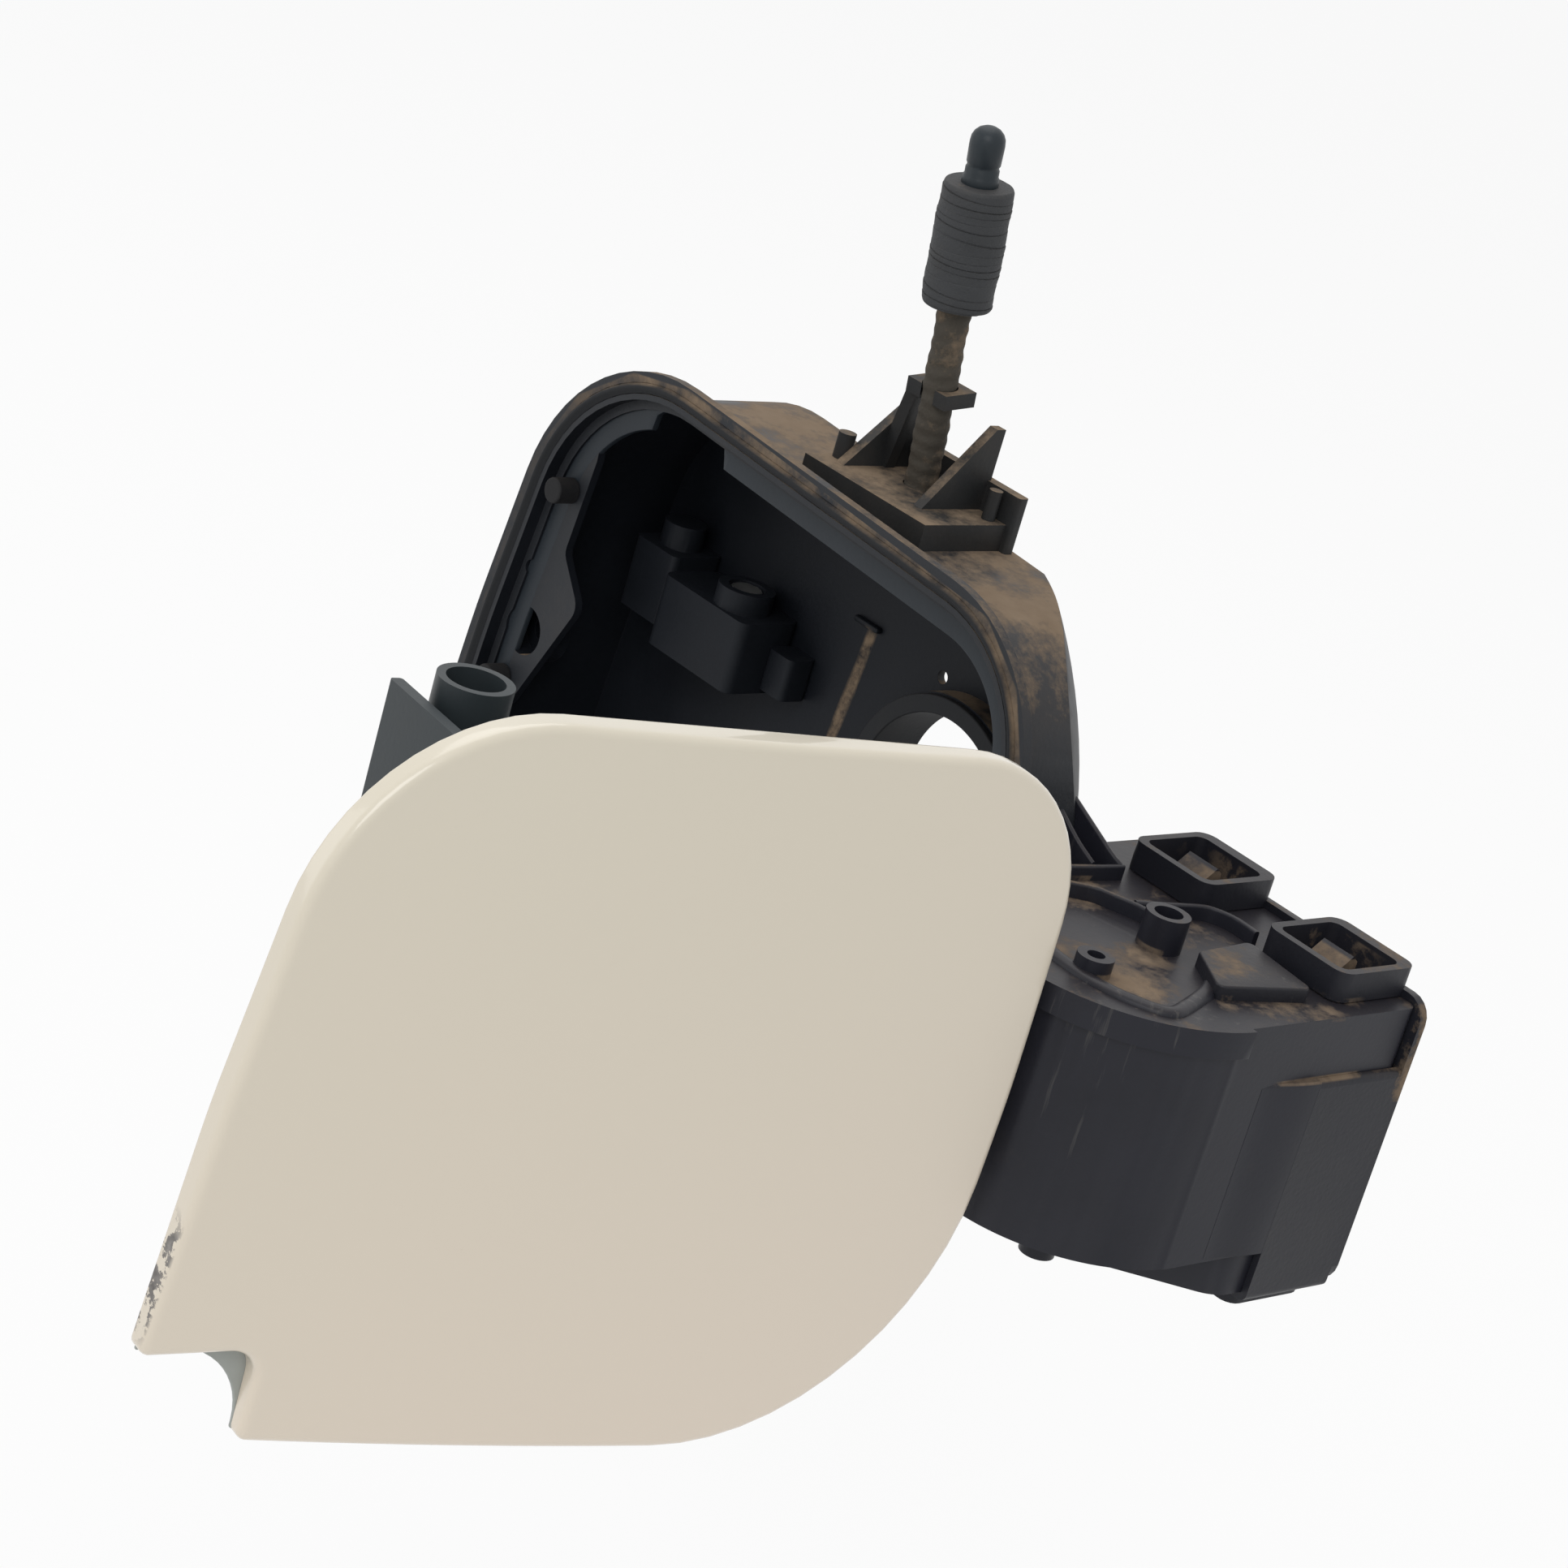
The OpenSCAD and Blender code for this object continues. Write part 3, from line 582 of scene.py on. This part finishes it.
# Where dirt has settled on the housing: x, y and reach in millimetres, and the heights that it keeps to
SETTLED = [
    (161, -8, 10, ON_TOP), (168, -7, 7, ON_TOP), (153, 8, 7, ON_TOP), (146, -12, 5, ON_TOP),
    (123, 58, 11, IN_LOOP), (170, 58, 11, IN_LOOP), (131, 34, 5, ON_TOP), (141, 30, 4, ON_TOP),
    (181, 50, 5, ON_TOP), (118, 24, 4, ON_TOP), (186, 40, 4, ON_TOP), (178, 12, 3, ON_TOP),
    (190, 32, 9, ON_LEDGE), (190, 46, 9, ON_LEDGE), (190.5, 71, 3, BY_SKIRT),
]
# How far noise pushes a patch's edge out or in, in metres, and the mean of that push in millimetres
RAGGED, RAGGED_MEAN = 0.016, 8
# Distance from the pin past which the flap's free edge lies, and the same as a depth with the flap open
FREE_EDGE = 240
CHIP_Y = (PIN_Y - FREE_EDGE * math.sin(OPEN)) * MM
# Heights in metres between which the free edge's paint is chipped
CHIP_LOW, CHIP_HIGH = -0.050, -0.018


def rim_dirt(tree):
    """Brown dirt caked along the mouth's outer edge, on its upper and hinge sides."""
    at = object_xyz(tree)
    band = between(tree, inset_value(tree), -2.2, 1.3, 1.4)
    side = over(tree, scaled(tree, at["X"], 0.4, at["Z"]), 0.030, 30.0)
    side = scaled(tree, side, 0.8, 0.2)
    caked = scaled(tree, noise(tree, 42.0, 7, 0.7), 5.0, -2.1, clamp=True)
    return times(tree, times(tree, band, side), caked)


def settled_dirt(tree):
    """Dirt settled on the housing: round patches with ragged edges, each within its own heights."""
    at = object_xyz(tree)
    flat = tree.nodes.new("ShaderNodeCombineXYZ")
    link(tree, at["X"], flat.inputs[0])
    link(tree, at["Y"], flat.inputs[1])
    ragged = noise(tree, 150.0, 7, 0.72)
    mask = None
    for x, y, reach, (low, high) in SETTLED:
        far = tree.nodes.new("ShaderNodeVectorMath")
        far.operation = "DISTANCE"
        link(tree, flat.outputs[0], far.inputs[0])
        far.inputs[1].default_value = (x * MM, y * MM, 0)
        edge = scaled(tree, ragged, RAGGED, far.outputs["Value"])
        one = under(tree, edge, (reach + RAGGED_MEAN) * MM, 320.0)
        one = times(tree, one, between(tree, at["Z"], low * MM, high * MM, 2500.0))
        mask = one if mask is None else math_node(tree, "MAXIMUM", mask, one)
    return times(tree, mask, scaled(tree, noise(tree, 75.0, 6, 0.65), 4.2, -1.35, clamp=True))


def drip(tree):
    """A dried drip down the bowl's back wall below the ledge: a wavering line with ragged sides."""
    at = object_xyz(tree)
    line = scaled(tree, at["Z"], 0.11, -0.0043)
    line = scaled(tree, noise(tree, 90.0, 3, 0.5), 0.0016, line)
    off = math_node(tree, "ABSOLUTE", math_node(tree, "SUBTRACT", at["X"], line))
    core = under(tree, off, 0.0022, 900.0)
    core = times(tree, core, between(tree, at["Z"], 0.0, 0.044, 260.0))
    core = times(tree, core, math_node(tree, "GREATER_THAN", at["Y"], 0.036))
    return times(tree, core, scaled(tree, noise(tree, 260.0, 5, 0.7), 3.0, -0.9, clamp=True))


def moulded(name, base, rough, dust, top, scale, scuff, grain=900.0, bump=0.12, gloss=0.25, dirt=None):
    """Moulded plastic or rubber: a mottled dark base with grain, scratches and road dust over it.

    dust and top are the dust everywhere and on top, scale is its pattern's, and dirt adds a mask of its own.
    """
    m, t, bsdf = new_material(name)
    mottle = noise(t, 55.0, 4, 0.6)
    colour = mix_colour(t, mottle, tint(base, 0.8), tint(base, 1.3, 0.002))
    if scuff > 0:
        marks = times(t, use_group(t, SCUFF, Amount=scuff)["Mask"], 0.45)
        colour = mix_colour(t, marks, colour, (0.10, 0.095, 0.09))
    dusty = use_group(t, DUST, Amount=dust, Scale=scale, On_top=top)
    colour = mix_colour(t, times(t, dusty["Film"], 0.2), colour, DUST_TONE)
    mask = dusty["Mask"]
    if dirt:
        mask = math_node(t, "MAXIMUM", mask, dirt(t))
    dust_colour = mix_colour(t, noise(t, 120.0, 5, 0.6), DUST_TONE, PALE_DUST)
    colour = mix_colour(t, times(t, mask, 0.8), colour, dust_colour)
    link(t, colour, bsdf.inputs["Base Color"])
    r = scaled(t, mask, 0.95 - rough, rough)
    r = scaled(t, math_node(t, "SUBTRACT", mottle, 0.5), 0.16, r, clamp=True)
    link(t, r, bsdf.inputs["Roughness"])
    bsdf.inputs["Specular IOR Level"].default_value = gloss
    height = scaled(t, mask, 0.8, use_group(t, GRAIN, Scale=grain)["Height"])
    add_bump(t, bsdf, height, bump, 0.0004)
    return m


def flap_paint():
    """Solid cream car paint under clear coat, with painted shade across it and a few specks and chips on the
    free edge's hem.
    """
    m, t, bsdf = new_material("cream car paint")
    at = object_xyz(t)
    # Painted shade: the cream turns darker and greener towards the top and towards the free edge, broken by
    # noise
    lean = scaled(t, at["Z"], 4.0, 0.5)
    lean = scaled(t, at["Y"], -1.2, lean)
    lean = scaled(t, noise(t, 9.0, 3, 0.5), 0.4, math_node(t, "SUBTRACT", lean, 0.3), clamp=True)
    colour = mix_colour(t, lean, (0.745, 0.640, 0.525), (0.680, 0.626, 0.510))
    speck = under(t, cells(t, 140.0), 0.035, 60.0)
    speck = times(t, speck, over(t, noise(t, 33.0, 2, 0.5), 0.60, 20.0))
    colour = mix_colour(t, times(t, speck, 0.55), colour, (0.25, 0.2, 0.15))
    edge = under(t, inset_value(t), 0.45, 2.5)
    edge = times(t, edge, math_node(t, "LESS_THAN", at["Y"], CHIP_Y))
    chip = times(t, edge, between(t, at["Z"], CHIP_LOW, CHIP_HIGH, 160.0))
    chip = times(t, chip, over(t, noise(t, 330.0, 6, 0.7), 0.50, 30.0))
    bare = mix_colour(t, noise(t, 500.0, 3, 0.5), (0.035, 0.03, 0.028), (0.35, 0.33, 0.31))
    colour = mix_colour(t, chip, colour, bare)
    link(t, colour, bsdf.inputs["Base Color"])
    link(t, scaled(t, chip, 0.35, 0.33), bsdf.inputs["Roughness"])
    link(t, scaled(t, chip, -0.7, 0.75), bsdf.inputs["Coat Weight"])
    bsdf.inputs["Coat Roughness"].default_value = 0.06
    add_bump(t, bsdf, scaled(t, chip, -6.0, noise(t, 420.0, 2, 0.5)), 0.03, 0.0003)
    return m


def bare_metal(name, base, rough, dust, metal=0.0):
    """Plated steel or primed sheet: slight blotches, brushed roughness and a little dust."""
    m, t, bsdf = new_material(name)
    blotch = noise(t, 70.0, 5, 0.6)
    colour = mix_colour(t, blotch, tint(base, 0.8), tint(base, 1.15))
    dusty = use_group(t, DUST, Amount=dust, Scale=60.0, On_top=0.2)
    colour = mix_colour(t, times(t, dusty["Mask"], 0.6), colour, PALE_DUST)
    link(t, colour, bsdf.inputs["Base Color"])
    link(t, scaled(t, blotch, 0.25, rough), bsdf.inputs["Roughness"])
    bsdf.inputs["Metallic"].default_value = metal
    return m


# Each gives its colour, then roughness, dust, dust on top, dust scale and scuffs
shell_plastic = moulded(
    "basin outer plastic", (0.018, 0.020, 0.024), 0.5, 0.1, 0.5, 52.0, 0.15, dirt=rim_dirt)
# The bowl's plastic is the outer plastic with a darker base, which is painted shade in the deep bowl, with
# less dust and a dried drip
shaded_bowl_plastic = moulded(
    "basin inner plastic with painted shade", (0.0075, 0.009, 0.0125), 0.5, -0.35, 0.1, 30.0, 0.0, gloss=0.16, dirt=drip)
band_plastic = moulded("mouth band plastic", (0.017, 0.022, 0.028), 0.42, -0.3, 0.25, 30.0, 0.0, bump=0.08)
box_plastic = moulded(
    "hinge housing plastic", (0.0125, 0.013, 0.019), 0.4, 0.0, 0.42, 42.0, 0.1, bump=0.07, dirt=settled_dirt)
cover_plastic = moulded(
    "rear cover plastic", (0.0125, 0.013, 0.018), 0.44, 0.0, 0.42, 46.0, 0.1, dirt=settled_dirt)
bracket_plastic = moulded("bracket plastic", (0.018, 0.019, 0.020), 0.55, 0.2, 0.4, 60.0, 0.1)
catch_plastic = moulded("catch plastic", (0.026, 0.033, 0.037), 0.42, -0.2, 0.2, 40.0, 0.05, bump=0.06)
lock_plastic = moulded("lock case plastic", (0.0085, 0.0102, 0.0138), 0.55, -0.2, 0.2, 40.0, 0.0, gloss=0.16)
arm_plastic = moulded("arm plastic", (0.012, 0.013, 0.016), 0.45, -0.1, 0.4, 40.0, 0.1)
plug_plastic = moulded("plug plastic", (0.018, 0.024, 0.029), 0.4, 0.0, 0.2, 60.0, 0.1)
RUBBER = {"grain": 1400.0, "bump": 0.1}
seal_rubber = moulded(
    "seal rubber", (0.012, 0.013, 0.015), 0.7, 0.0, 0.35, 36.0, 0.0, dirt=rim_dirt, **RUBBER)
grommet_rubber = moulded("grommet rubber", (0.012, 0.013, 0.015), 0.7, 0.0, 0.35, 36.0, 0.0, **RUBBER)
stop_rubber = moulded("stop rubber", (0.010, 0.010, 0.011), 0.72, 0.0, 0.2, 40.0, 0.0, **RUBBER)
sleeve_rubber = moulded(
    "taped sleeve", (0.052, 0.047, 0.039), 0.75, 0.42, 0.1, 70.0, 0.0, grain=1200.0, bump=0.4)
tape = moulded("cloth tape", (0.044, 0.046, 0.049), 0.68, 0.12, 0.2, 60.0, 0.0, grain=1500.0, bump=0.35)
paint = flap_paint()
primer = bare_metal("grey primer", (0.34, 0.36, 0.34), 0.4, -0.15)
steel = bare_metal("plated steel", (0.55, 0.55, 0.53), 0.3, -0.05, 1.0)


def dress(piece, material, body, second=None):
    """Gives a piece its finish, or two, and the body that it moves with."""
    indices = np.empty(len(piece.data.polygons), dtype=np.int32)
    piece.data.polygons.foreach_get("material_index", indices)
    piece.data.materials.clear()
    piece.data.materials.append(material)
    if second:
        piece.data.materials.append(second)
        piece.data.polygons.foreach_set("material_index", indices)
    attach(piece, body)


def stand_in(piece, part, finish, body):
    """Dresses a piece that stands for a whole part."""
    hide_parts(part)
    dress(piece, finish, body)


# ---- Housing ----
basin = eased("basin", 0.45)
mark_inset(basin)
# The faces inside the bowl take the darker plastic, which paints the bowl's shade
shade_bowl_faces(basin)
dress(basin, shell_plastic, "housing", shaded_bowl_plastic)
dress(mouth_band(), band_plastic, "housing")
# The drip ledge inside the bowl takes the same darker plastic, with its painted shade
dress(drip_ledge(), shaded_bowl_plastic, "housing")
dress(eased("hinge_box", 0.6), box_plastic, "housing")
dress(eased("box_cover", 0.5), cover_plastic, "housing")

# Ribs on the housing's top: path in plan, half width, foot and top, or the top's height at each point
RIBS = [
    ("nose_rim", [(127, -11), (137, -16.6), (149.5, -18.2), (160, -18.4), (169, -16.3), (179.5, -9.6),
                  (177.5, -3), (171.5, 12), (166.5, 19)], 2.3, 24.0, 28.5),
    ("curved_wall", [(112, 5), (121.9, 11.8), (125, 17.4), (131, 20.1), (135.5, 22.5), (143, 23.8)],
     0.8, 26.5, 31.0),
    ("rear_wall", [(133.7, 23), (136.6, 33.4), (138.7, 43.9), (145.5, 47.1), (153.5, 46.4)], 0.8, 26.5, 31.0),
    ("side_web", [(97.5, 25, 42), (107.7, 26.5, 34.5), (113.5, 28, 31)], 0.8, 24.0),
    ("rear_web", [(97, 31.9, 42), (107.7, 33.5, 36), (113, 34.3, 33), (116, 35.8, 31)], 0.8, 24.0),
    ("web_foot", [(116, 36.4), (115.2, 28), (113.9, 19.5), (113, 10)], 0.8, 26.5, 31.0),
]
for rib in RIBS:
    dress(rail(*rib), box_plastic, "housing")
TRAY_CORNERS = [(158.8, 19.8, 2.0), (175.2, 9.8, 2.0), (181.2, 37.2, 2.0), (156.8, 40.2, 2.0)]
dress(raised_plate("tray_plate", TRAY_CORNERS, 26.5, 30.7, 0.6), cover_plastic, "housing")
dress(side_step(), box_plastic, "housing")

for part, width, finish in (("lead_bracket", 0.35, bracket_plastic), ("lock_body", 0.5, lock_plastic),
                            ("neck_ring", 0.5, grommet_rubber), ("buffers", 0.6, stop_rubber)):
    dress(eased(part, width), finish, "housing")
for shape, part, finish in ((seal_band, "rim_seal", seal_rubber), (lead_sleeve, "lead", sleeve_rubber),
                            (tape_wrap, "lead_wrap", tape), (lead_end, "lead_plug", plug_plastic)):
    stand_in(shape(), part, finish, "housing")

# ---- Flap ----
stand_in(flap_panel(), "flap_skin", paint, "flap")
for part, width, finish in (("flap_inner", 0.3, primer), ("flap_arm", 0.6, arm_plastic),
                            ("latch_catch", 0.5, catch_plastic), ("arm_screws", 0.3, steel)):
    dress(eased(part, width), finish, "flap")

# ---- Plain pieces kept as they are ----
for part in ("hinge_pin", "lock_bolt"):
    nodes[part].data.materials.clear()
    nodes[part].data.materials.append(steel)


# ---- Floor, light and camera ----
FLOOR_Z, FLOOR_SIZE, FLOOR_PALE = -0.30, 30, 0.86
# How much of the floor is plain white to the camera, and the level of the light from all round
FLOOR_WHITE, ROOM_LIGHT = 0.86, 0.62


def white_rays(tree):
    """1 for rays from the camera, from a reflection or through glass, and 0 for the rest."""
    ray = tree.nodes.new("ShaderNodeLightPath")
    seen = math_node(tree, "MAXIMUM", ray.outputs["Is Camera Ray"], ray.outputs["Is Glossy Ray"])
    return math_node(tree, "MAXIMUM", seen, ray.outputs["Is Transmission Ray"])


def ground_material():
    """Matt pale ground, mostly plain white to the camera and in reflections, which still takes the shadow."""
    m, t, bsdf = new_material("studio ground")
    bsdf.inputs["Base Color"].default_value = (FLOOR_PALE, FLOOR_PALE, FLOOR_PALE, 1)
    bsdf.inputs["Roughness"].default_value = 0.9
    glow = t.nodes.new("ShaderNodeEmission")
    glow.inputs["Color"].default_value = (1, 1, 1, 1)
    glow.inputs["Strength"].default_value = 1.0
    mix = t.nodes.new("ShaderNodeMixShader")
    link(t, times(t, white_rays(t), FLOOR_WHITE), mix.inputs[0])
    link(t, bsdf.outputs[0], mix.inputs[1])
    link(t, glow.outputs[0], mix.inputs[2])
    link(t, mix.outputs[0], t.nodes["Material Output"].inputs["Surface"])
    return m


bpy.ops.mesh.primitive_plane_add(size=FLOOR_SIZE, location=(0, 0, FLOOR_Z))
ground = bpy.context.object
ground.name = "ground"
ground.data.materials.append(ground_material())

world = bpy.data.worlds.new("studio")
bpy.context.scene.world = world
world.use_nodes = True
wt = world.node_tree
bg = wt.nodes["Background"]
bg.inputs["Color"].default_value = (1, 1, 1, 1)
link(wt, math_node(wt, "MAXIMUM", white_rays(wt), ROOM_LIGHT), bg.inputs["Strength"])


def soft_lamp(name, at, aim, size, power):
    """A round area lamp at a place, turned to what it aims at."""
    lamp = bpy.data.lights.new(name, "AREA")
    lamp.shape = "DISK"
    lamp.size = size
    lamp.energy = power
    o = add_object(name, lamp)
    o.location = at
    o.rotation_euler = (Vector(aim) - Vector(at)).to_track_quat("-Z", "Y").to_euler()


soft_lamp("front key", (1.1, -1.5, 1.5), (0.05, -0.05, 0), 1.4, 15)
soft_lamp("top fill", (-0.6, 0.2, 1.8), (0.05, 0, 0), 1.8, 11)
soft_lamp("side fill", (-1.2, -1.6, 0.5), (0.05, -0.05, 0), 1.4, 4)

# The camera looks at a point from a distance in metres, at angles fitted to the photograph
AIM_AT, DISTANCE, LENS, SENSOR = Vector((0.0317, 0.0, 0.01411)), 1.0, 90.0, 36
azimuth, elevation, roll = math.radians(44.2), math.radians(20.28), math.radians(16.33)
level_x, level_y = math.cos(azimuth), math.sin(azimuth)
back = Vector((level_y * math.cos(elevation), -level_x * math.cos(elevation), math.sin(elevation)))
level = Vector((level_x, level_y, 0))
right = math.cos(roll) * level + math.sin(roll) * back.cross(level)
top = back.cross(right)
place = AIM_AT + back * DISTANCE
camera_data = bpy.data.cameras.new("camera")
camera_data.sensor_width = SENSOR
camera_data.lens = LENS
camera = add_object("camera", camera_data)
camera.matrix_world = Matrix((
    (right.x, top.x, back.x, place.x),
    (right.y, top.y, back.y, place.y),
    (right.z, top.z, back.z, place.z),
    (0, 0, 0, 1),
))
bpy.context.scene.camera = camera
bpy.context.scene.view_settings.view_transform = "Standard"
